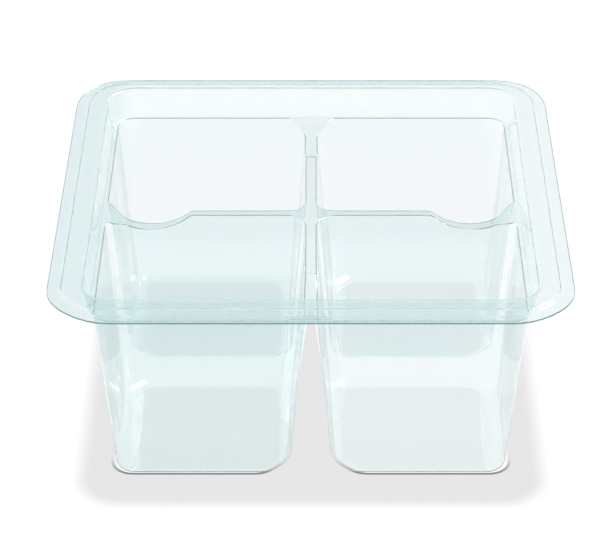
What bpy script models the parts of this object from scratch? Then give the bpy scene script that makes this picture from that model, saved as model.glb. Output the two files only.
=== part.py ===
"""A clear thermoformed tray with four square cells, standing on its cell floors.

The real tray is one sheet of plastic. Its zones are modelled as separate solids,
a hairline apart: the flange, the recess wall below it, the deck that holds the
dividers, and the four cells. Metres, +Z up, front towards -Y, origin on the
ground under the middle of the tray.
"""
import math

import bmesh
import bpy

MM = 0.001

# Driving dimensions.
TRAY_WIDTH = 170.0 * MM
TRAY_HEIGHT = 75.0 * MM
SHEET = 0.5 * MM
HAIRLINE = 0.3 * MM
FLANGE_CORNER = 21.0 * MM
LIP_WIDTH = 4.0 * MM
LIP_DROP = 2.2 * MM
LIP_STEP_RUN = 0.8 * MM
FLANGE_WIDTH = 11.4 * MM
FLANGE_TURN_DOWN = 1.5 * MM
RECESS_DEPTH = 10.4 * MM
RECESS_RUN = 2.3 * MM
LEDGE_WIDTH = 1.1 * MM
DIVIDER_WIDTH = 3.8 * MM
WALL_SLOPE = 0.080
CENTRE_CORNER = 6.3 * MM
OUTER_CORNER = 6.5 * MM
GUSSET = 6.2 * MM
FLOOR_FILLET = 4.0 * MM
DIP_CENTRE = 55.2 * MM
DIP_HALF_LENGTH = 14.8 * MM
DIP_DEPTH = 5.3 * MM
DIP_LIP_RADIUS = 2.0 * MM

# Worked out from them.
TRAY_HALF = TRAY_WIDTH / 2
MOUTH_HALF = TRAY_HALF - FLANGE_WIDTH
MOUTH_CORNER = FLANGE_CORNER - FLANGE_WIDTH
FOOT_HALF = MOUTH_HALF - RECESS_RUN
DECK_TOP = TRAY_HEIGHT - RECESS_DEPTH
CELL_NEAR = DIVIDER_WIDTH / 2
CELL_FAR = FOOT_HALF - LEDGE_WIDTH
CELL_MIDDLE = (CELL_NEAR + CELL_FAR) / 2
CELL_HALF = (CELL_FAR - CELL_NEAR) / 2
DIP_ANGLE = 2 * math.atan(DIP_DEPTH / DIP_HALF_LENGTH)
DIP_RADIUS = DIP_HALF_LENGTH / math.sin(DIP_ANGLE) - DIP_LIP_RADIUS

# Fineness of the facets.
CORNER_STEPS = 8
FILLET_STEPS = 4
DIP_STEPS = 14

# How far cutters reach past what they cut, and the strip each dip runs across.
CLEARANCE = 2.0 * MM
DIP_BAND = CELL_NEAR + GUSSET + CLEARANCE
DIP_BAND_END = DIP_BAND + HAIRLINE

# Size and facets of a cell's upright corners, by how many of their two walls face outside.
CORNERS = ((CENTRE_CORNER, CORNER_STEPS), (GUSSET, 1), (OUTER_CORNER, CORNER_STEPS))

CELLS = {
    "front_left_cell": (-1, -1),
    "front_right_cell": (1, -1),
    "rear_left_cell": (-1, 1),
    "rear_right_cell": (1, 1),
}


def clear_scene():
    for obj in list(bpy.data.objects):
        bpy.data.objects.remove(obj, do_unlink=True)


def new_collection(name):
    collection = bpy.data.collections.new(name)
    bpy.context.scene.collection.children.link(collection)
    return collection


def clear_plastic(name, colour):
    """Clear PET with a faint cool tint."""
    material = bpy.data.materials.new(name)
    material.use_nodes = True
    shader = material.node_tree.nodes["Principled BSDF"]
    shader.inputs["Base Color"].default_value = (*colour, 1.0)
    shader.inputs["Metallic"].default_value = 0.0
    shader.inputs["Roughness"].default_value = 0.08
    shader.inputs["IOR"].default_value = 1.57
    shader.inputs["Transmission Weight"].default_value = 0.9
    return material


def mesh_object(name, shape, collection):
    """An object that holds the shape of this bmesh, which is freed."""
    bmesh.ops.triangulate(shape, faces=shape.faces[:])
    mesh = bpy.data.meshes.new(name)
    shape.to_mesh(mesh)
    shape.free()
    obj = bpy.data.objects.new(name, mesh)
    collection.objects.link(obj)
    return obj


def make_guide(obj):
    obj.hide_render = True
    obj.display_type = "WIRE"
    return obj


def thicken_outwards(obj):
    """Gives an open surface the sheet's thickness, on the side its faces point to."""
    modifier = obj.modifiers.new("Sheet", "SOLIDIFY")
    modifier.thickness = SHEET
    modifier.offset = 1.0
    modifier.use_even_offset = True


def subtract(obj, cutter):
    modifier = obj.modifiers.new("Cut " + cutter.name, "BOOLEAN")
    modifier.operation = "DIFFERENCE"
    modifier.object = cutter


# The rim: a section swept round a square with round corners.

def rounded_square(half, radius):
    """Points anticlockwise round a square with round corners."""
    points = []
    for corner in range(4):
        start = corner * math.pi / 2
        middle = start + math.pi / 4
        reach = (half - radius) * math.sqrt(2)
        centre_x = reach * math.cos(middle)
        centre_y = reach * math.sin(middle)
        for step in range(CORNER_STEPS + 1):
            angle = start + step / CORNER_STEPS * math.pi / 2
            points.append((centre_x + radius * math.cos(angle), centre_y + radius * math.sin(angle)))
    return points


def closed_curve(name, points, collection):
    """A closed curve of straight runs through these 3-D points."""
    curve = bpy.data.curves.new(name, "CURVE")
    curve.dimensions = "3D"
    curve.twist_mode = "Z_UP"
    spline = curve.splines.new("POLY")
    spline.points.add(len(points) - 1)
    for point, place in zip(spline.points, points):
        point.co = (*place, 1.0)
    spline.use_cyclic_u = True
    obj = bpy.data.objects.new(name, curve)
    collection.objects.link(obj)
    return obj


def sweep_round_mouth(name, section, parts, guides):
    """A solid whose section, as (distance out from the mouth's edge, height), runs all round it."""
    profile_points = [(out, height, 0.0) for out, height in section]
    profile = make_guide(closed_curve(name + "_section", profile_points, guides))
    profile.data.dimensions = "2D"
    path = [(x, y, 0.0) for x, y in rounded_square(MOUTH_HALF, MOUTH_CORNER)]
    rim = closed_curve(name, path, parts)
    rim.data.bevel_mode = "OBJECT"
    rim.data.bevel_object = profile
    return rim


def recess_out(height):
    """How far out of the mouth's edge the recess wall's inner face is, which is less than 0."""
    return (height - TRAY_HEIGHT) * RECESS_RUN / RECESS_DEPTH


def flange_section():
    """The flat flange with its turned-down inner edge, its step down and the lip outside it."""
    top = TRAY_HEIGHT
    lip_top = TRAY_HEIGHT - LIP_DROP
    step_out = FLANGE_WIDTH - LIP_WIDTH
    step_in = step_out - LIP_STEP_RUN
    turned = TRAY_HEIGHT - FLANGE_TURN_DOWN
    upper = [(0.0, top), (step_in, top), (step_out, lip_top), (FLANGE_WIDTH, lip_top)]
    lower = [(FLANGE_WIDTH, lip_top - SHEET), (step_out - SHEET, lip_top - SHEET)]
    lower += [(step_in - SHEET, top - SHEET), (SHEET, top - SHEET)]
    lower += [(recess_out(turned) + SHEET, turned), (recess_out(turned), turned)]
    return upper + lower


def recess_section():
    """The sloping wall between the flange and the deck."""
    top = TRAY_HEIGHT - FLANGE_TURN_DOWN - HAIRLINE
    foot = DECK_TOP + HAIRLINE
    inner = [(recess_out(foot), foot), (recess_out(top), top)]
    outer = [(recess_out(top) + SHEET, top), (recess_out(foot) + SHEET, foot)]
    return inner + outer


# The deck: a flat sheet with a dip in each arm of the dividers.

def dip_depth(along):
    """How far the divider's top lies below the deck, this far from the tray's middle."""
    offset = abs(abs(along) - DIP_CENTRE)
    if offset >= DIP_HALF_LENGTH:
        return 0.0
    if offset <= DIP_RADIUS * math.sin(DIP_ANGLE):
        return DIP_DEPTH - DIP_RADIUS + math.sqrt(DIP_RADIUS**2 - offset**2)
    inset = DIP_HALF_LENGTH - offset
    return DIP_LIP_RADIUS - math.sqrt(DIP_LIP_RADIUS**2 - inset**2)


def deck_height(x, y):
    depth = 0.0
    if abs(y) <= DIP_BAND:
        depth = dip_depth(x)
    if abs(x) <= DIP_BAND:
        depth = max(depth, dip_depth(y))
    return DECK_TOP - depth


def grid_lines(edge):
    """Grid positions from -edge to edge, close together over the dips."""
    start = DIP_CENTRE - DIP_HALF_LENGTH
    dips = [start + 2 * DIP_HALF_LENGTH * step / DIP_STEPS for step in range(DIP_STEPS + 1)]
    positive = [DIP_BAND, DIP_BAND_END, *dips, edge]
    return [-value for value in reversed(positive)] + [0.0] + positive


def deck_surface(edge, drop):
    """The deck's upper surface as an open grid, lowered by this much."""
    lines = grid_lines(edge)
    surface = bmesh.new()
    bmesh.ops.create_grid(surface, x_segments=len(lines) - 1, y_segments=len(lines) - 1, size=1.0)
    last = len(lines) - 1
    for vertex in surface.verts:
        column = round((vertex.co.x + 1) / 2 * last)
        row = round((vertex.co.y + 1) / 2 * last)
        x = lines[column]
        y = lines[row]
        vertex.co = (x, y, deck_height(x, y) - drop)
    return surface


def close_with_copy(surface):
    """Closes an open surface with a copy of itself and returns the copy's points, not yet moved."""
    copied = bmesh.ops.extrude_face_region(surface, geom=surface.faces[:])["geom"]
    return [item for item in copied if isinstance(item, bmesh.types.BMVert)]


def space_above_cells(guides):
    """Everything that lies above the tops of the cell walls."""
    space = deck_surface(TRAY_HALF, SHEET + HAIRLINE)
    for vertex in close_with_copy(space):
        vertex.co.z = TRAY_HEIGHT
    bmesh.ops.recalc_face_normals(space, faces=space.faces[:])
    return make_guide(mesh_object("space_above_cells", space, guides))


# The cells: drafted boxes with round and chamfered corners.

def is_upright(edge):
    rise = abs(edge.verts[0].co.z - edge.verts[1].co.z)
    return rise > FLOOR_FILLET


def lies_at(item, height):
    """Whether all the points of this edge or face are at this height."""
    return all(abs(vertex.co.z - height) < SHEET / 10 for vertex in item.verts)


def bevel(shape, edges, size, steps):
    bmesh.ops.bevel(
        shape, geom=edges, offset=size, offset_type="OFFSET", segments=steps, profile=0.5, affect="EDGES"
    )


def walls_outside(edge, side_x, side_y):
    """How many of the two walls that meet at this upright edge face out of the tray."""
    x = (edge.verts[0].co.x + edge.verts[1].co.x) / 2 * side_x
    y = (edge.verts[0].co.y + edge.verts[1].co.y) / 2 * side_y
    return (x > CELL_MIDDLE) + (y > CELL_MIDDLE)


def cavity(side_x, side_y, top):
    """The space inside a cell, from its floor up to this height, as a closed shape."""
    shape = bmesh.new()
    bmesh.ops.create_cube(shape, size=2.0)
    for vertex in shape.verts:
        height = top if vertex.co.z > 0 else SHEET
        half = CELL_HALF + (height - DECK_TOP) * WALL_SLOPE
        vertex.co.x = side_x * CELL_MIDDLE + vertex.co.x * half
        vertex.co.y = side_y * CELL_MIDDLE + vertex.co.y * half
        vertex.co.z = height
    for outer_walls, (size, steps) in enumerate(CORNERS):
        uprights = [edge for edge in shape.edges if is_upright(edge)]
        bevel(shape, [e for e in uprights if walls_outside(e, side_x, side_y) == outer_walls], size, steps)
    bevel(shape, [edge for edge in shape.edges if lies_at(edge, SHEET)], FLOOR_FILLET, FILLET_STEPS)
    return shape


def cell_spaces(guides):
    """The four cells' spaces, carried on a little above the deck, as one cutter."""
    spaces = bmesh.new()
    for side_x, side_y in CELLS.values():
        shape = cavity(side_x, side_y, DECK_TOP + CLEARANCE)
        one = bpy.data.meshes.new("one_space")
        shape.to_mesh(one)
        shape.free()
        spaces.from_mesh(one)
        bpy.data.meshes.remove(one)
    return make_guide(mesh_object("cell_spaces", spaces, guides))


def build_rim(parts, guides):
    sweep_round_mouth("rim_flange", flange_section(), parts, guides)
    sweep_round_mouth("recess_wall", recess_section(), parts, guides)


def build_deck(parts, guides):
    sheet = deck_surface(FOOT_HALF + SHEET, SHEET)
    for vertex in close_with_copy(sheet):
        vertex.co.z += SHEET
    bmesh.ops.recalc_face_normals(sheet, faces=sheet.faces[:])
    deck = mesh_object("divider_deck", sheet, parts)
    subtract(deck, cell_spaces(guides))


def build_cells(parts, guides):
    above = space_above_cells(guides)
    for name, (side_x, side_y) in CELLS.items():
        shape = cavity(side_x, side_y, DECK_TOP)
        lids = [face for face in shape.faces if lies_at(face, DECK_TOP)]
        bmesh.ops.delete(shape, geom=lids, context="FACES")
        cell = mesh_object(name, shape, parts)
        thicken_outwards(cell)
        subtract(cell, above)


def paint(parts):
    """Each zone gets the clear plastic, a little deeper in tint where the sheet is thicker."""
    rim = clear_plastic("rim_plastic", (0.74, 0.85, 0.86))
    deck = clear_plastic("deck_plastic", (0.78, 0.88, 0.89))
    cell = clear_plastic("cell_plastic", (0.80, 0.89, 0.89))
    finishes = {"rim_flange": rim, "recess_wall": rim, "divider_deck": deck}
    for obj in parts.objects:
        obj.data.materials.append(finishes.get(obj.name, cell))


def main():
    clear_scene()
    parts = new_collection("four_cell_tray")
    guides = new_collection("guides")
    build_rim(parts, guides)
    build_deck(parts, guides)
    build_cells(parts, guides)
    paint(parts)


main()
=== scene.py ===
"""The looks of the clear four-cell tray: one continuous thermoformed shell of clear
plastic, on a white floor with the tray's soft shadow painted on it, under even light."""
import math

import bmesh
import bpy
import mathutils
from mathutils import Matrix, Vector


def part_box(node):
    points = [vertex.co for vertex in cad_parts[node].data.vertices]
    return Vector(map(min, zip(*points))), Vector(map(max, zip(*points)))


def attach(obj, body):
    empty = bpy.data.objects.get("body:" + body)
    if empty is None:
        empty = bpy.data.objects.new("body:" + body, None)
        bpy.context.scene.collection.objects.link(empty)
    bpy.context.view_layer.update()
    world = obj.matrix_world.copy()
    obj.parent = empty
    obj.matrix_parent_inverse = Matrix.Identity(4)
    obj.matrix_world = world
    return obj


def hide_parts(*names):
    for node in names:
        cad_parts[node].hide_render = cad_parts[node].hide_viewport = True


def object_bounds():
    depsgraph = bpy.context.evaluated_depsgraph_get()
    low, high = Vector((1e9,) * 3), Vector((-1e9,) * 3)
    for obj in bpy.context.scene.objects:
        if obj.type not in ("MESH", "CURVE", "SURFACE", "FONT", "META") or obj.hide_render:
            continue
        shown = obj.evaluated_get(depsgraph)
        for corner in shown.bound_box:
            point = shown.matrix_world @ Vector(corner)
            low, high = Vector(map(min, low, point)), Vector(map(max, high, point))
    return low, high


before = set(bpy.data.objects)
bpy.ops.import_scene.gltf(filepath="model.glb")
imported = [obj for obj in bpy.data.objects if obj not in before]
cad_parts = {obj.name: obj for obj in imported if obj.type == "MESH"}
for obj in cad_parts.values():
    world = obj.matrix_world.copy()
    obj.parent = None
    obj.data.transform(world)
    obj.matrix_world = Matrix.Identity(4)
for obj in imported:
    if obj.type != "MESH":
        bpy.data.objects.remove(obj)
CAD_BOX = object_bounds()

MM = 0.001

# Sizes read from the frame.
(_, _, GROUND), (TRAY_HALF, _, TRAY_TOP) = CAD_BOX
_, DECK_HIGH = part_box("divider_deck")
DECK_TOP = DECK_HIGH[2]
TRAY_WIDTH = 2 * TRAY_HALF

# The sheet is thickest at the flange and thins as it is drawn down into the cells.
SHEET = 0.5 * MM
DECK_GAUGE = 0.40 * MM
FLOOR_GAUGE = 0.20 * MM
FOOT_HALF = DECK_HIGH[0] - SHEET
FLOOR_TOP = GROUND + FLOOR_GAUGE

# The cells. Their walls come in by this share of their depth. The ledge is the flat land
# between a cell and the recess wall.
WALL_SLOPE = 0.080
WALL_ANGLE = math.atan(WALL_SLOPE)
CELL_NEAR = 1.9 * MM
LEDGE = 1.1 * MM
CELL_FAR = FOOT_HALF - LEDGE
GUSSET_TOP = 6.2 * MM
GUSSET_FOOT = 7.4 * MM
SMALLEST_CORNER = 0.6 * MM
FLOOR_FILLET = 4.0 * MM
CELL_EDGE = 0.55 * MM
DEEPEST_INSET = WALL_SLOPE * (DECK_TOP - FLOOR_TOP)

# The dips in the dividers, which lower the land in a band along each middle plane.
DIP_CENTRE = 55.2 * MM
DIP_HALF_LENGTH = 14.8 * MM
DIP_DEPTH = 5.3 * MM
DIP_LIP_RADIUS = 2.0 * MM
DIP_ANGLE = 2 * math.atan(DIP_DEPTH / DIP_HALF_LENGTH)
DIP_RADIUS = DIP_HALF_LENGTH / math.sin(DIP_ANGLE) - DIP_LIP_RADIUS
DIP_BAND = CELL_NEAR + GUSSET_TOP + 2 * MM

# The rim, from the foot of the recess wall out to the lip. FOOT_START is where the fillet
# at that foot begins, which is also where the land ends.
RECESS_RUN = 2.3 * MM
FLANGE_FLAT = 6.6 * MM
STEP_RUN = 0.8 * MM
LIP_DROP = 2.2 * MM
LIP_LIFT = 0.6 * MM
FOOT_CORNER = 7.3 * MM
FOOT_FILLET = 0.35 * MM
MOUTH_FILLET = 1.5 * MM
STEP_FILLET = 1.1 * MM
FOOT_ANGLE = math.atan2(TRAY_TOP - DECK_TOP, RECESS_RUN)
FOOT_START = -FOOT_FILLET * math.tan(FOOT_ANGLE / 2)
SECTION_LEAD = 0.01 * MM

# How finely the surface is divided. The steps along a divider are finest where its dip
# starts, and a floor's rings are shares of the way to its middle. The height of the land
# beside a cell is found in a few passes, as the place of the cell's edge depends on it.
WALL_ROWS = 10
FILLET_ROWS = 8
EDGE_ROWS = 5
LAND_ROWS = 7
FLOOR_RINGS = (0.02, 0.3, 0.6)
STEPS_BEFORE_DIP = 9
STEPS_INTO_DIP = range(-2, 8)
DIP_STEP = 0.25 * MM
STEPS_AFTER_DIP = 24
GUSSET_POINTS = 9
OUTER_POINTS = 12
LAND_PASSES = 4


def blend(a, b, share):
    """The point this share of the way from a to b."""
    return tuple(p + (q - p) * share for p, q in zip(a, b))


def dip_depth(along):
    """How far a divider's top lies below the deck, this far from the tray's middle."""
    offset = abs(along - DIP_CENTRE)
    if offset >= DIP_HALF_LENGTH:
        return 0.0
    if offset <= DIP_RADIUS * math.sin(DIP_ANGLE):
        return DIP_DEPTH - DIP_RADIUS + math.sqrt(DIP_RADIUS**2 - offset**2)
    inset = DIP_HALF_LENGTH - offset
    return DIP_LIP_RADIUS - math.sqrt(DIP_LIP_RADIUS**2 - inset**2)


def deck_height(x, y):
    depth = 0.0
    if y <= DIP_BAND:
        depth = dip_depth(x)
    if x <= DIP_BAND:
        depth = max(depth, dip_depth(y))
    return DECK_TOP - depth


# The outline of the rear right cell, which the others mirror. It has six straight
# sides. Each corner has a radius at the deck, one at the floor, and a number of steps.

HALF_ROOT = math.sqrt(0.5)
SIDE_NORMALS = (
    (0.0, -1.0),
    (HALF_ROOT, -HALF_ROOT),
    (1.0, 0.0),
    (0.0, 1.0),
    (-HALF_ROOT, HALF_ROOT),
    (-1.0, 0.0),
)
SIDE_REACHES = (-CELL_NEAR, None, CELL_FAR, CELL_FAR, None, -CELL_NEAR)
CENTRE_CORNER = (6.3 * MM, 7.5 * MM, 8)
GUSSET_NEAR_CORNER = (3.5 * MM, 6.5 * MM, 6)
GUSSET_FAR_CORNER = (2.0 * MM, 6.5 * MM, 6)
OUTER_CORNER = (6.5 * MM, 6.0 * MM, 10)
CORNERS = (
    CENTRE_CORNER,
    GUSSET_NEAR_CORNER,
    GUSSET_FAR_CORNER,
    OUTER_CORNER,
    GUSSET_FAR_CORNER,
    GUSSET_NEAR_CORNER,
)


def gusset_leg(deep):
    """How far a gusset cuts along each side: deep is 0 at the deck and 1 at the floor."""
    return GUSSET_TOP + (GUSSET_FOOT - GUSSET_TOP) * deep


def side_reach(index, inset, sharpen):
    """How far out one side lies once the walls have come in this far, and then a fillet."""
    if SIDE_REACHES[index] is not None:
        return SIDE_REACHES[index] - inset - sharpen
    span = CELL_FAR - CELL_NEAR - gusset_leg(inset / DEEPEST_INSET)
    return HALF_ROOT * (span - 2 * inset) - sharpen


def crossing(a, reach_a, b, reach_b):
    """Where two lines meet, each given by its normal and its distance from the middle."""
    det = a[0] * b[1] - a[1] * b[0]
    return (reach_a * b[1] - reach_b * a[1]) / det, (a[0] * reach_b - b[0] * reach_a) / det


def corner_points(index, inset, sharpen):
    """Points round one corner of the outline."""
    before = SIDE_NORMALS[index - 1]
    after = SIDE_NORMALS[index]
    top_radius, foot_radius, steps = CORNERS[index]
    radius = top_radius + (foot_radius - top_radius) * inset / DEEPEST_INSET
    radius = max(radius - sharpen, SMALLEST_CORNER)
    reach_before = side_reach((index - 1) % len(CORNERS), inset, sharpen) - radius
    reach_after = side_reach(index, inset, sharpen) - radius
    centre_x, centre_y = crossing(before, reach_before, after, reach_after)
    start = math.atan2(before[1], before[0])
    turn = math.remainder(math.atan2(after[1], after[0]) - start, 2 * math.pi)
    points = []
    for step in range(steps + 1):
        angle = start + turn * step / steps
        points.append((centre_x + radius * math.cos(angle), centre_y + radius * math.sin(angle)))
    return points


def even_places(start, end, steps):
    """The places between start and end that part them into this many even steps."""
    return [start + (end - start) * step / steps for step in range(1, steps)]


def dip_shares():
    """Places along a divider side, as shares of its length, close together at the dip's end."""
    start = CELL_NEAR + CENTRE_CORNER[0]
    end = CELL_FAR - GUSSET_TOP - GUSSET_NEAR_CORNER[0] * math.tan(math.pi / 8)
    dip_start = DIP_CENTRE - DIP_HALF_LENGTH
    places = even_places(start, dip_start, STEPS_BEFORE_DIP)
    places += [dip_start + DIP_STEP * step for step in STEPS_INTO_DIP]
    places += even_places(places[-1], end, STEPS_AFTER_DIP)
    return [(place - start) / (end - start) for place in places]


DIP_SHARES = dip_shares()
GUSSET_SHARES = even_places(0.0, 1.0, GUSSET_POINTS + 1)
OUTER_SHARES = even_places(0.0, 1.0, OUTER_POINTS + 1)
SIDE_SHARES = (
    DIP_SHARES,
    GUSSET_SHARES,
    OUTER_SHARES,
    OUTER_SHARES,
    GUSSET_SHARES,
    [1 - share for share in reversed(DIP_SHARES)],
)


def joined(runs, sides):
    """The closed line through the runs of points. The points that it adds on each straight
    side between two runs are at that side's shares of its length."""
    points = []
    for index, (run, shares) in enumerate(zip(runs, sides)):
        following = runs[(index + 1) % len(runs)]
        points += run
        points += [blend(run[-1], following[0], share) for share in shares]
    return points


def outline(inset, sharpen=0.0):
    """The cell's outline where the walls have come in this far, and then a fillet."""
    corners = [corner_points(index, inset, sharpen) for index in range(len(CORNERS))]
    return joined(corners, SIDE_SHARES)


# The rows of the cell, from its floor up to the land beside it.

def wall_inset(height):
    return WALL_SLOPE * (DECK_TOP - height)


def floor_rows():
    """Rings of the fillet between the floor and the walls."""
    centre_z = FLOOR_TOP + FLOOR_FILLET
    centre_inset = wall_inset(centre_z) + FLOOR_FILLET / math.cos(WALL_ANGLE)
    wall_start = centre_inset - FLOOR_FILLET * math.cos(WALL_ANGLE)
    rings = []
    for row in range(FILLET_ROWS + 1):
        angle = -math.pi / 2 - (math.pi / 2 - WALL_ANGLE) * row / FILLET_ROWS
        inset = centre_inset + FLOOR_FILLET * math.cos(angle)
        height = centre_z + FLOOR_FILLET * math.sin(angle)
        ring = outline(wall_start, inset - wall_start)
        rings.append([(x, y, height) for x, y in ring])
    return rings


def edge_inset(land):
    """Inset of the centre of the rounded edge below land of this height."""
    return wall_inset(land - CELL_EDGE) - CELL_EDGE / math.cos(WALL_ANGLE)


LEAST_INSET = edge_inset(DECK_TOP)
LEAST_RING = outline(LEAST_INSET)
MOST_RING = outline(DEEPEST_INSET)


def wall_place(column, inset):
    """The point of one column of the walls at this inset."""
    share = (inset - LEAST_INSET) / (DEEPEST_INSET - LEAST_INSET)
    return blend(LEAST_RING[column], MOST_RING[column], share)


def land_heights():
    """For each column, the height of the land where the rounded edge ends."""
    heights = []
    for column in range(len(LEAST_RING)):
        land = DECK_TOP
        for _ in range(LAND_PASSES):
            land = deck_height(*wall_place(column, edge_inset(land)))
        heights.append(land)
    return heights


def wall_rows(lands):
    """Rings of the walls and of the rounded edge at their top."""
    start_z = FLOOR_TOP + FLOOR_FILLET * (1 - math.sin(WALL_ANGLE))
    rings = []
    for row in range(1, WALL_ROWS + 1):
        ring = []
        for column, land in enumerate(lands):
            top_z = land - CELL_EDGE + CELL_EDGE * math.sin(WALL_ANGLE)
            height = start_z + (top_z - start_z) * row / WALL_ROWS
            ring.append((*wall_place(column, wall_inset(height)), height))
        rings.append(ring)
    for row in range(1, EDGE_ROWS + 1):
        ring = []
        angle = WALL_ANGLE + (math.pi / 2 - WALL_ANGLE) * row / EDGE_ROWS
        for column, land in enumerate(lands):
            inset = edge_inset(land) + CELL_EDGE * math.cos(angle)
            height = land - CELL_EDGE + CELL_EDGE * math.sin(angle)
            ring.append((*wall_place(column, inset), height))
        rings.append(ring)
    return rings


# The land between the cell and the middle planes or the foot of the recess wall.

def fan(start, through, end, count):
    """This odd number of points from start to end, by way of a sharp corner at its middle."""
    half = count // 2
    first = [blend(start, through, step / half) for step in range(half)]
    last = [blend(through, end, step / half) for step in range(half + 1)]
    return first + last


def corner_starts():
    """The column where each corner of the outline starts."""
    starts = []
    position = 0
    for (_, _, steps), shares in zip(CORNERS, SIDE_SHARES):
        starts.append(position)
        position += steps + 1 + len(shares)
    return starts


def arc_corner(centre, radius, count):
    """This many points round the corner from the X side to the Y side."""
    angles = [math.pi / 2 * step / (count - 1) for step in range(count)]
    return [(centre + radius * math.cos(a), centre + radius * math.sin(a)) for a in angles]


def land_boundary(edge_ring, reach):
    """Where each column's land ends: on a middle plane, or at this distance from it.
    Returns the points, and the first and last column that meet the rim."""
    counts = [steps + 1 for _, _, steps in CORNERS]
    starts = corner_starts()
    gusset_count = counts[1] + len(GUSSET_SHARES) + counts[2]
    foot_corner = FOOT_CORNER + FOOT_START
    first_y = edge_ring[starts[0]][1]
    last_x = edge_ring[starts[0] + counts[0] - 1][0]
    gusset_first = edge_ring[starts[1]][0]
    gusset_last = edge_ring[starts[2] + counts[2] - 1][1]
    middle = fan((0.0, first_y), (0.0, 0.0), (last_x, 0.0), counts[0])
    right = fan((gusset_first, 0.0), (reach, 0.0), (reach, gusset_last), gusset_count)
    outer = arc_corner(reach - foot_corner, foot_corner, counts[3])
    left = [(y, x) for x, y in reversed(right)]
    sides = (SIDE_SHARES[0], SIDE_SHARES[2], SIDE_SHARES[3], SIDE_SHARES[5])
    points = joined((middle, right, outer, left), sides)
    return points, starts[1] + gusset_count // 2, starts[4] + gusset_count // 2


def land_rows(edge_ring, boundary):
    """Rings from the rounded edge of the cell out to the land's boundary."""
    rings = []
    for row in range(1, LAND_ROWS + 1):
        ring = []
        for edge, end in zip(edge_ring, boundary):
            x, y = blend(edge[:2], end, row / LAND_ROWS)
            ring.append((x, y, deck_height(x, y)))
        rings.append(ring)
    return rings


# The rim: a section of straight runs with rounded corners, carried round the tray.

def rounded_section(points, radii, steps):
    """The section's points with each inner one rounded to its radius."""
    section = [points[0]]
    for index, radius in enumerate(radii, start=1):
        before, here, after = points[index - 1 : index + 2]
        into = math.atan2(here[1] - before[1], here[0] - before[0])
        out = math.atan2(after[1] - here[1], after[0] - here[0])
        turn = math.remainder(out - into, 2 * math.pi)
        run = radius * math.tan(abs(turn) / 2)
        side = math.copysign(math.pi / 2, turn)
        centre_out = here[0] - run * math.cos(into) + radius * math.cos(into + side)
        centre_z = here[1] - run * math.sin(into) + radius * math.sin(into + side)
        for step in range(steps + 1):
            angle = into - side + turn * step / steps
            point = (centre_out + radius * math.cos(angle), centre_z + radius * math.sin(angle))
            section.append(point)
    section.append(points[-1])
    return section


def rim_section():
    """The rim's upper surface as (distance out from the wall's foot, height). It leaves out
    the first two points, as the land ends where the second one is."""
    flat_end = RECESS_RUN + FLANGE_FLAT
    lip = TRAY_TOP - LIP_DROP
    points = [
        (FOOT_START - SECTION_LEAD, DECK_TOP),
        (0.0, DECK_TOP),
        (RECESS_RUN, TRAY_TOP),
        (flat_end, TRAY_TOP),
        (flat_end + STEP_RUN, lip),
        (TRAY_HALF - FOOT_HALF, lip),
    ]
    radii = (FOOT_FILLET, MOUTH_FILLET, STEP_FILLET, STEP_FILLET)
    return rounded_section(points, radii, EDGE_ROWS)[2:]


def rim_point(x, y, out, height):
    """A point of the rim this far out from the recess wall's foot, on the column that meets
    the land's boundary at (x, y). The lip lifts a little at the tray's corners."""
    centre = FOOT_HALF - FOOT_CORNER
    if x > centre and y > centre:
        angle = math.atan2(y - centre, x - centre)
        radius = FOOT_CORNER + out
        on_lip = min(max((out - RECESS_RUN - FLANGE_FLAT) / STEP_RUN, 0.0), 1.0)
        lift = LIP_LIFT * math.sin(2 * angle) ** 2 * on_lip
        return centre + radius * math.cos(angle), centre + radius * math.sin(angle), height + lift
    if x > y:
        return FOOT_HALF + out, y, height
    return x, FOOT_HALF + out, height


def rim_rows(boundary):
    rows = []
    for out, height in rim_section():
        rows.append([rim_point(x, y, out, height) for x, y in boundary])
    return rows


# The shell: a quarter of the upper surface, mirrored and given its thickness. The higher
# THINNING is, the sooner below the deck the sheet gets down to the floor's gauge.

THINNING = 3
GAUGE_GROUP = "gauge"
MERGE_WITHIN = 0.01 * MM
SHARP_ANGLE = math.radians(55)
SHADING_WEIGHT = 80


def add_strip(surface, inner, outer, closed):
    """Faces between two rows of vertices. A closed strip joins the last to the first."""
    count = len(inner) if closed else len(inner) - 1
    for column in range(count):
        after = (column + 1) % len(inner)
        surface.faces.new((inner[column], outer[column], outer[after], inner[after]))


def fill_floor(surface, ring):
    """Closes the flat floor with rings that shrink to its middle, so that it shades flat."""
    middle_x = sum(vertex.co.x for vertex in ring) / len(ring)
    middle_y = sum(vertex.co.y for vertex in ring) / len(ring)
    outer = ring
    for share in FLOOR_RINGS:
        inner = []
        for vertex in ring:
            x, y = blend(vertex.co[:2], (middle_x, middle_y), share)
            inner.append(surface.verts.new((x, y, FLOOR_TOP)))
        add_strip(surface, inner, outer, True)
        outer = inner
    surface.faces.new(outer)


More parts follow.
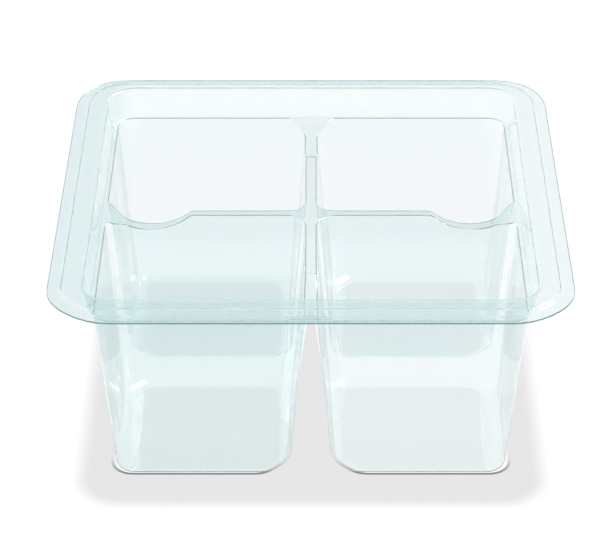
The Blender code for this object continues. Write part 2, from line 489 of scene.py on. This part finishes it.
def quarter_surface():
    """The rear right quarter of the tray's upper surface, as an open mesh."""
    lands = land_heights()
    rings = floor_rows() + wall_rows(lands)
    boundary, first_rim, last_rim = land_boundary(rings[-1], FOOT_HALF + FOOT_START)
    rings += land_rows(rings[-1], boundary)
    surface = bmesh.new()
    grid = [[surface.verts.new(point) for point in ring] for ring in rings]
    for inner, outer in zip(grid, grid[1:]):
        add_strip(surface, inner, outer, True)
    fill_floor(surface, grid[0])
    inner = grid[-1][first_rim : last_rim + 1]
    for ring in rim_rows(boundary[first_rim : last_rim + 1]):
        outer = [surface.verts.new(point) for point in ring]
        add_strip(surface, inner, outer, False)
        inner = outer
    bmesh.ops.recalc_face_normals(surface, faces=surface.faces[:])
    floor = max(surface.faces, key=lambda face: len(face.verts))
    if floor.normal.z < 0:
        bmesh.ops.reverse_faces(surface, faces=surface.faces[:])
    return surface


def gauge(height):
    """The sheet's thickness at this height."""
    if height >= DECK_TOP:
        share = (height - DECK_TOP) / (TRAY_TOP - DECK_TOP)
        return DECK_GAUGE + (SHEET - DECK_GAUGE) * share
    share = (height - FLOOR_TOP) / (DECK_TOP - FLOOR_TOP)
    return FLOOR_GAUGE + (DECK_GAUGE - FLOOR_GAUGE) * max(share, 0.0) ** THINNING


def open_quarter():
    """An object with the quarter's surface, and each vertex's gauge as a share of SHEET."""
    surface = quarter_surface()
    mesh = bpy.data.meshes.new("tray_shell")
    surface.to_mesh(mesh)
    surface.free()
    shell = bpy.data.objects.new("tray_shell", mesh)
    bpy.context.scene.collection.objects.link(shell)
    group = shell.vertex_groups.new(name=GAUGE_GROUP)
    for vertex in mesh.vertices:
        group.add([vertex.index], gauge(vertex.co.z) / SHEET, "REPLACE")
    return shell


def make_whole(shell):
    """Mirrors the quarter to the whole tray, and gives the sheet its thickness below."""
    mirror = shell.modifiers.new("Quarters", "MIRROR")
    mirror.use_axis = (True, True, False)
    mirror.merge_threshold = MERGE_WITHIN
    sheet = shell.modifiers.new("Sheet", "SOLIDIFY")
    sheet.thickness = SHEET
    sheet.offset = -1.0
    sheet.use_even_offset = True
    sheet.vertex_group = GAUGE_GROUP
    depsgraph = bpy.context.evaluated_depsgraph_get()
    solid = bpy.data.meshes.new_from_object(shell.evaluated_get(depsgraph))
    shell.modifiers.clear()
    shell.data = solid


def shade(shell):
    """Smooth shading that keeps sharp edges sharp and flat faces flat."""
    shell.data.shade_smooth()
    shell.data.set_sharp_from_angle(angle=SHARP_ANGLE)
    weights = shell.modifiers.new("Even shading", "WEIGHTED_NORMAL")
    weights.mode = "FACE_AREA"
    weights.weight = SHADING_WEIGHT
    weights.keep_sharp = True


def make_shell(material):
    shell = open_quarter()
    make_whole(shell)
    shell.data.materials.clear()
    shell.data.materials.append(material)
    shade(shell)
    return shell


# Short calls that add shader nodes.

class Graph:
    """The nodes of a material or of the world. Each call adds a node and returns its output,
    and takes a number, a colour or another node's output for each value."""

    def __init__(self, owner):
        owner.use_nodes = True
        self.nodes = owner.node_tree.nodes
        self.links = owner.node_tree.links

    def feed(self, socket, value):
        """Links another node's output to the socket, or sets the socket to a plain value."""
        if isinstance(value, bpy.types.NodeSocket):
            self.links.new(value, socket)
        else:
            socket.default_value = value

    def axes(self, vector):
        """The vector's X, Y and Z."""
        node = self.nodes.new("ShaderNodeSeparateXYZ")
        self.feed(node.inputs[0], vector)
        return node.outputs

    def math(self, operation, *values):
        node = self.nodes.new("ShaderNodeMath")
        node.operation = operation
        for socket, value in zip(node.inputs, values):
            self.feed(socket, value)
        return node.outputs[0]

    def mixed(self, share, first, second, mode="MIX"):
        """The first colour, with this share of the second mixed in."""
        node = self.nodes.new("ShaderNodeMix")
        node.data_type = "RGBA"
        node.blend_type = mode
        self.feed(node.inputs[0], share)
        self.feed(node.inputs[6], first)
        self.feed(node.inputs[7], second)
        return node.outputs[2]

    def ranged(self, value, start, end, low=0.0, high=1.0, kind="SMOOTHSTEP"):
        """Goes from low to high as the value goes from start to end."""
        node = self.nodes.new("ShaderNodeMapRange")
        node.interpolation_type = kind
        self.feed(node.inputs["Value"], value)
        self.feed(node.inputs["From Min"], start)
        self.feed(node.inputs["From Max"], end)
        self.feed(node.inputs["To Min"], low)
        self.feed(node.inputs["To Max"], high)
        return node.outputs[0]

    def level(self, distance, inner, outer, softness):
        """Goes from the inner level to the outer one across the line where distance is 0."""
        return self.ranged(distance, -softness / 2, softness / 2, inner, outer)

    def box_distance(self, x, y, middle, half, corner, widen=0.0):
        """The distance outside a rectangle with rounded corners, which is negative inside it.
        It can be widened in X by an amount that changes from place to place."""
        over_x = self.math("ABSOLUTE", self.math("SUBTRACT", x, middle[0]))
        over_x = self.math("SUBTRACT", over_x, half[0] - corner)
        over_x = self.math("SUBTRACT", over_x, widen)
        over_y = self.math("ABSOLUTE", self.math("SUBTRACT", y, middle[1]))
        over_y = self.math("SUBTRACT", over_y, half[1] - corner)
        out_x = self.math("MAXIMUM", over_x, 0.0)
        out_y = self.math("MAXIMUM", over_y, 0.0)
        square_x = self.math("MULTIPLY", out_x, out_x)
        square_y = self.math("MULTIPLY", out_y, out_y)
        outside = self.math("SQRT", self.math("ADD", square_x, square_y))
        inside = self.math("MINIMUM", self.math("MAXIMUM", over_x, over_y), 0.0)
        return self.math("SUBTRACT", self.math("ADD", outside, inside), corner)


# The plastic. Its surface tint is deepest where the sheet lies flat at the top, as that
# part isn't drawn thin. A pair of heights or places is where a change of tint starts and
# ends, and FLAT_FACING is such a pair for how far up or down the surface faces.

PLASTIC_IOR = 1.4
BODY_COLOUR = (0.3, 0.55, 0.6, 1.0)
BODY_DENSITY = 250.0
# The colour of the body's faint glow, which is painted light.
PAINTED_GLOW_COLOUR = (0.5, 0.86, 0.89)
FLANGE_TINT = (0.925, 0.962, 0.972, 1.0)
DECK_TINT = (0.86, 0.92, 0.93, 1.0)
CELL_TINT = (0.955, 0.973, 0.975, 1.0)
# The next two colours are painted shade: deeper on the left side, which lies away from the light,
# and dark on the lip's cut edge.
LEFT_SHADE_TINT = (0.87, 0.92, 0.925, 1.0)
EDGE_SHADE_TINT = (0.2, 0.3, 0.36, 1.0)
FLAT_FACING = (0.5, 0.95)
THICK_HEIGHTS = (DECK_TOP - 8 * MM, DECK_TOP - 6 * MM)
FLANGE_HEIGHTS = (DECK_TOP + 1 * MM, TRAY_TOP - 3 * MM)
# Where the painted shade on the left side and on the lip's cut edge starts and ends.
LEFT_SHADE_PLACES = (-0.76 * TRAY_HALF, -0.86 * TRAY_HALF)
EDGE_SHADE_PLACES = (-0.25 * MM, -0.1 * MM)
RIM_CORNER = 21 * MM
RIPPLES_PER_METRE = (90.0, 90.0, 22.5)
RIPPLE_DETAIL = 3.0
RIPPLE_DEPTH = 0.08 * MM
RIPPLE_LEVELS = (0.35, 0.65)
ROUGHNESS = (0.02, 0.06)


def sheet_tint(graph):
    """The tint of the sheet's surface, with painted shade on it: a little deeper along the left
    side of the rim, the side away from the light, and dark on the lip's cut edge, standing in
    for the dark refraction seen along that edge."""
    place = graph.nodes.new("ShaderNodeNewGeometry")
    x, y, height = graph.axes(place.outputs["Position"])
    upward = graph.math("ABSOLUTE", graph.axes(place.outputs["True Normal"])["Z"])
    lies_flat = graph.ranged(upward, *FLAT_FACING)
    is_thick = graph.math("MULTIPLY", lies_flat, graph.ranged(height, *THICK_HEIGHTS))
    on_flange = graph.ranged(height, *FLANGE_HEIGHTS)
    thick_tint = graph.mixed(on_flange, DECK_TINT, FLANGE_TINT)
    tint = graph.mixed(is_thick, CELL_TINT, thick_tint)
    # Painted shade: deeper along the left side, and dark on the lip's cut edge.
    in_left_shade = graph.ranged(x, *LEFT_SHADE_PLACES)
    tint = graph.mixed(in_left_shade, tint, LEFT_SHADE_TINT, "MULTIPLY")
    outside = graph.box_distance(x, y, (0.0, 0.0), (TRAY_HALF, TRAY_HALF), RIM_CORNER)
    return graph.mixed(graph.ranged(outside, *EDGE_SHADE_PLACES), tint, EDGE_SHADE_TINT)


def ripple(graph):
    """Faint waves in the sheet from its forming, stretched upwards along the walls. Returns
    the bumped normal, and the roughness, which follows the same waves."""
    place = graph.nodes.new("ShaderNodeTexCoord")
    stretch = graph.nodes.new("ShaderNodeMapping")
    graph.feed(stretch.inputs["Scale"], RIPPLES_PER_METRE)
    graph.feed(stretch.inputs["Vector"], place.outputs["Object"])
    noise = graph.nodes.new("ShaderNodeTexNoise")
    graph.feed(noise.inputs["Scale"], 1.0)
    graph.feed(noise.inputs["Detail"], RIPPLE_DETAIL)
    graph.feed(noise.inputs["Vector"], stretch.outputs[0])
    bump = graph.nodes.new("ShaderNodeBump")
    graph.feed(bump.inputs["Strength"], 1.0)
    graph.feed(bump.inputs["Distance"], RIPPLE_DEPTH)
    graph.feed(bump.inputs["Height"], noise.outputs[0])
    roughness = graph.ranged(noise.outputs[0], *RIPPLE_LEVELS, *ROUGHNESS, "LINEAR")
    return bump.outputs[0], roughness


def plastic_body(graph):
    """The plastic's inside. It absorbs a little colour and glows faintly, a painted light
    that stands in for light from the white surroundings, so that light that is trapped in
    the sheet doesn't end black."""
    absorption = graph.nodes.new("ShaderNodeVolumeAbsorption")
    graph.feed(absorption.inputs["Color"], BODY_COLOUR)
    graph.feed(absorption.inputs["Density"], BODY_DENSITY)
    glow_volume = graph.nodes.new("ShaderNodeVolumePrincipled")
    glow = [(1 - body) * colour for body, colour in zip(BODY_COLOUR, PAINTED_GLOW_COLOUR)]
    graph.feed(glow_volume.inputs["Density"], 0.0)
    graph.feed(glow_volume.inputs["Density Attribute"], "")
    graph.feed(glow_volume.inputs["Emission Color"], (*glow, 1.0))
    graph.feed(glow_volume.inputs["Emission Strength"], BODY_DENSITY)
    body = graph.nodes.new("ShaderNodeAddShader")
    graph.feed(body.inputs[0], absorption.outputs[0])
    graph.feed(body.inputs[1], glow_volume.outputs[0])
    return body.outputs[0]


def clear_plastic():
    """Refracting plastic with a faint blue-green body colour."""
    material = bpy.data.materials.new("clear_plastic")
    graph = Graph(material)
    shader = graph.nodes["Principled BSDF"]
    normal, roughness = ripple(graph)
    graph.feed(shader.inputs["Base Color"], sheet_tint(graph))
    graph.feed(shader.inputs["Normal"], normal)
    graph.feed(shader.inputs["Roughness"], roughness)
    graph.feed(shader.inputs["IOR"], PLASTIC_IOR)
    graph.feed(shader.inputs["Transmission Weight"], 1.0)
    graph.feed(graph.nodes["Material Output"].inputs["Volume"], plastic_body(graph))
    return material


# The floor. The tray's shadow is painted into its colour: an even painted shadow with soft
# edges below the flange and the dividers, painted light on the ground below the cells that
# widens and runs on to the rear, a faint painted shade under each flat foot, a thin dark line
# of painted contact shadow where the front feet curve off the floor, painted shade under the
# left cells, and a faint painted shadow on the ground behind.

FLOOR_ALBEDO = 0.9
FLOOR_ROUGHNESS = 0.9
FLOOR_SIZE = TRAY_WIDTH * 60
FLOOR_GAP = 0.03 * MM
WHITE = (1.0, 1.0, 1.0, 1.0)

# The painted shadow below the flange and the dividers.
SHADE_MIDDLE_Y = -2.1 * MM
SHADE_HALF = (77.6 * MM, 79.4 * MM)
SHADE_CORNER = 15 * MM
SHADE_SOFTNESS = 8 * MM
SHADE_LEVEL = 0.783

FILLET_INSET = FLOOR_FILLET * (1 - WALL_SLOPE)
FLAT_NEAR = CELL_NEAR + DEEPEST_INSET + FILLET_INSET
FLAT_FAR = CELL_FAR - (DEEPEST_INSET + FILLET_INSET)
FLAT_MIDDLE = (FLAT_NEAR + FLAT_FAR) / 2
FLAT_HALF = (FLAT_FAR - FLAT_NEAR) / 2
FLAT_GUSSET = side_reach(1, DEEPEST_INSET, FILLET_INSET)
# A faint painted shade on each cell's flat foot.
FLAT_CORNER = 3.0 * MM
FLAT_SOFTNESS = 0.9 * MM
FOOT_SHADE_LEVEL = 0.91

# Painted light on the ground below the cells, where the tray's painted shadow is left out.
LIT_MARGIN = 1.9 * MM
LIT_SIDE = 2.9 * MM
LIT_SPREAD = 0.082
LIT_CORNER = 4.5 * MM
LIT_CUT = 0.4 * MM
LIT_ROUND = 4.0 * MM
LIT_REAR = 83 * MM
LIT_SOFTNESS = 0.8 * MM

# A thin painted contact shadow round the front feet.
CONTACT_OFFSET = 2.35 * MM
CONTACT_WIDTH = 0.5 * MM
CONTACT_SHADE_LEVEL = 0.2
CONTACT_END = 2 * MM - FLAT_FAR
CONTACT_FADE = 14 * MM

# Painted shade on the floor under the left cells, a little darker and blue-green.
LEFT_SHADE_LEVEL = (0.89, 0.94, 0.94, 1.0)
LEFT_SOFTNESS = 12 * MM
LEFT_END = FLAT_FAR + FLOOR_FILLET
LEFT_FADE = 4 * MM

# A faint painted shadow on the ground behind the tray.
REAR_MIDDLE = (0.0, 146 * MM)
REAR_HALF = (76 * MM, 52 * MM)
REAR_CORNER = 20 * MM
REAR_SOFTNESS = 16 * MM
REAR_SHADE_LEVEL = 0.95


def lit_distance(graph, side_x, y):
    """The distance outside the lit ground below the cells, at this distance from the middle
    in X. Its edge is cut off beside the gussets of the two front cells."""
    middle = (FLAT_MIDDLE + LIT_SIDE / 2, (LIT_REAR - FLAT_FAR) / 2)
    half = (FLAT_HALF + LIT_SIDE / 2, (LIT_REAR + FLAT_FAR) / 2)
    widen = graph.math("MULTIPLY", graph.math("ADD", y, FLAT_FAR), LIT_SPREAD)
    widen = graph.math("MAXIMUM", widen, 0.0)
    box = graph.box_distance(side_x, y, middle, half, LIT_CORNER, widen)
    cut = graph.math("MULTIPLY", graph.math("ADD", y, side_x), -HALF_ROOT)
    cut = graph.math("SUBTRACT", cut, FLAT_GUSSET - LIT_CUT)
    return graph.math("SMOOTH_MAX", box, cut, LIT_ROUND)


def foot_shade_level(graph, side_x, side_y):
    """A faint painted shade: slightly below 1 on the flat foot of each cell, with its two gusset
    corners cut off.
    """
    middle = (FLAT_MIDDLE, FLAT_MIDDLE)
    box = graph.box_distance(side_x, side_y, middle, (FLAT_HALF, FLAT_HALF), FLAT_CORNER)
    across = graph.math("ABSOLUTE", graph.math("SUBTRACT", side_y, side_x))
    cut = graph.math("SUBTRACT", graph.math("MULTIPLY", across, HALF_ROOT), FLAT_GUSSET)
    flat = graph.math("MAXIMUM", box, cut)
    return graph.level(flat, FOOT_SHADE_LEVEL, 1.0, FLAT_SOFTNESS)


def contact_shade_level(graph, lit, y):
    """A painted contact shadow: well below 1 on a thin line round the front feet, which fades out
    towards the rear.
    """
    offset = graph.math("ABSOLUTE", graph.math("SUBTRACT", lit, CONTACT_OFFSET))
    offset = graph.math("SUBTRACT", offset, CONTACT_WIDTH)
    line = graph.level(offset, 1.0, 0.0, CONTACT_WIDTH)
    front = graph.level(graph.math("SUBTRACT", y, CONTACT_END), 1.0, 0.0, CONTACT_FADE)
    line = graph.math("MULTIPLY", line, front)
    line = graph.math("MULTIPLY", line, 1.0 - CONTACT_SHADE_LEVEL)
    return graph.math("SUBTRACT", 1.0, line)


def left_shade_share(graph, lit_share, x, y):
    """How much of the painted shade under the left cells the floor has: all of it under those
    cells.
    """
    left = graph.level(x, 1.0, 0.0, LEFT_SOFTNESS)
    under = graph.level(graph.math("SUBTRACT", y, LEFT_END), 1.0, 0.0, LEFT_FADE)
    return graph.math("MULTIPLY", graph.math("MULTIPLY", left, lit_share), under)


def floor_colour(graph):
    place = graph.nodes.new("ShaderNodeNewGeometry")
    x, y, _ = graph.axes(place.outputs["Position"])
    side_x = graph.math("ABSOLUTE", x)
    side_y = graph.math("ABSOLUTE", y)
    # The painted shadow, the painted light below the cells and the painted shades all scale the
    # floor's colour.
    shade = graph.box_distance(x, y, (0.0, SHADE_MIDDLE_Y), SHADE_HALF, SHADE_CORNER)
    shade = graph.level(shade, SHADE_LEVEL, 1.0, SHADE_SOFTNESS)
    lit = lit_distance(graph, side_x, y)
    lit_share = graph.math("SUBTRACT", lit, LIT_MARGIN)
    lit_share = graph.level(lit_share, 1.0, 0.0, LIT_SOFTNESS)
    # The faint painted shadow behind the tray.
    rear = graph.box_distance(x, y, REAR_MIDDLE, REAR_HALF, REAR_CORNER)
    rear = graph.level(rear, REAR_SHADE_LEVEL, 1.0, REAR_SOFTNESS)
    shaded_albedo = graph.math("MAXIMUM", shade, lit_share)
    shaded_albedo = graph.math("MULTIPLY", shaded_albedo, foot_shade_level(graph, side_x, side_y))
    shaded_albedo = graph.math("MULTIPLY", shaded_albedo, contact_shade_level(graph, lit, y))
    shaded_albedo = graph.math("MULTIPLY", shaded_albedo, rear)
    shaded_albedo = graph.math("MULTIPLY", shaded_albedo, FLOOR_ALBEDO)
    colour = graph.nodes.new("ShaderNodeVectorMath")
    colour.operation = "SCALE"
    # The painted shade under the left cells.
    tint = graph.mixed(left_shade_share(graph, lit_share, x, y), WHITE, LEFT_SHADE_LEVEL)
    graph.feed(colour.inputs[0], tint)
    graph.feed(colour.inputs["Scale"], shaded_albedo)
    return colour.outputs[0]


def floor_material():
    material = bpy.data.materials.new("white_floor_painted_shadow")
    graph = Graph(material)
    shader = graph.nodes["Principled BSDF"]
    graph.feed(shader.inputs["Roughness"], FLOOR_ROUGHNESS)
    graph.feed(shader.inputs["Specular IOR Level"], 0.0)
    graph.feed(shader.inputs["Base Color"], floor_colour(graph))
    return material


def make_floor():
    bpy.ops.mesh.primitive_plane_add(size=FLOOR_SIZE, location=(0, 0, GROUND - FLOOR_GAP))
    floor = bpy.context.active_object
    floor.name = "floor"
    floor.data.materials.append(floor_material())


# Light. The sky's stops go from straight below to straight overhead.

SKY_STOPS = ((0.0, 1.0), (0.55, 1.0), (0.72, 0.72), (1.0, 0.66))
SUN_POWER = 3.55
SUN_ANGLE = math.radians(5)
SOFTBOX_DIRECTION = (0.78, 0.09, 0.62)
SOFTBOX_RADIUS = math.radians(17)
SOFTBOX_BLUR = 1.25
SOFTBOX_LEVEL = 30.0


def sky_colour(graph, direction):
    """White round the horizon and dimmer overhead."""
    ramp = graph.nodes.new("ShaderNodeValToRGB")
    stops = ramp.color_ramp.elements
    while len(stops) < len(SKY_STOPS):
        stops.new(0.5)
    for stop, (position, brightness) in zip(stops, SKY_STOPS):
        stop.position = position
        stop.color = (brightness, brightness, brightness, 1.0)
    height = graph.axes(direction)["Z"]
    graph.feed(ramp.inputs[0], graph.ranged(height, -1.0, 1.0, kind="LINEAR"))
    return ramp.outputs[0]


def softbox_strength(graph, direction):
    """Bright on a round patch with a soft edge, and 1 elsewhere."""
    toward = graph.nodes.new("ShaderNodeVectorMath")
    toward.operation = "DOT_PRODUCT"
    graph.feed(toward.inputs[0], direction)
    graph.feed(toward.inputs[1], mathutils.Vector(SOFTBOX_DIRECTION).normalized())
    outer = math.cos(SOFTBOX_RADIUS * SOFTBOX_BLUR)
    inner = math.cos(SOFTBOX_RADIUS)
    return graph.ranged(toward.outputs["Value"], outer, inner, 1.0, SOFTBOX_LEVEL)


def make_world():
    """A pale studio with one softbox. Matt surfaces are lit by the lamp alone."""
    world = bpy.data.worlds.new("studio")
    bpy.context.scene.world = world
    world.cycles_visibility.diffuse = False
    graph = Graph(world)
    place = graph.nodes.new("ShaderNodeTexCoord")
    direction = place.outputs["Generated"]
    background = graph.nodes["Background"]
    graph.feed(background.inputs["Color"], sky_colour(graph, direction))
    graph.feed(background.inputs["Strength"], softbox_strength(graph, direction))


def make_overhead():
    """An even light from straight overhead, for the floor."""
    lamp = bpy.data.lights.new("overhead", "SUN")
    lamp.energy = SUN_POWER
    lamp.angle = SUN_ANGLE
    overhead = bpy.data.objects.new("overhead", lamp)
    overhead.location = (0.0, 0.0, TRAY_TOP + TRAY_WIDTH)
    overhead.visible_glossy = False
    overhead.visible_transmission = False
    bpy.context.scene.collection.objects.link(overhead)


# The camera. Its place is in widths of the tray, from the middle of the tray's top.

CAMERA_PLACE = (0.006, -4.7021, 2.6013)
CAMERA_DOWN = math.radians(30.93)
CAMERA_LENS = 160.2
CAMERA_SENSOR = 36.0
CAMERA_SHIFT = -0.0233

# How often light may pass a surface, as many layers of the sheet lie behind one another.
MOST_BOUNCES = 32


def make_camera():
    """Looks down at the front of the tray from far off, as a long lens does."""
    data = bpy.data.cameras.new("camera")
    data.lens = CAMERA_LENS
    data.sensor_width = CAMERA_SENSOR
    data.shift_x = CAMERA_SHIFT
    camera = bpy.data.objects.new("camera", data)
    x, y, z = (TRAY_WIDTH * part for part in CAMERA_PLACE)
    camera.location = (x, y, TRAY_TOP + z)
    camera.rotation_euler = (math.pi / 2 - CAMERA_DOWN, 0.0, 0.0)
    bpy.context.scene.collection.objects.link(camera)
    bpy.context.scene.camera = camera


def main():
    scene = bpy.context.scene
    scene.view_settings.view_transform = "Standard"
    scene.cycles.max_bounces = MOST_BOUNCES
    scene.cycles.transmission_bounces = MOST_BOUNCES
    scene.cycles.transparent_max_bounces = MOST_BOUNCES
    make_camera()
    make_world()
    make_overhead()
    make_floor()
    shell = make_shell(clear_plastic())
    shell.visible_shadow = False
    shell.visible_diffuse = False
    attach(shell, "root")
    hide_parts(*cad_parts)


main()
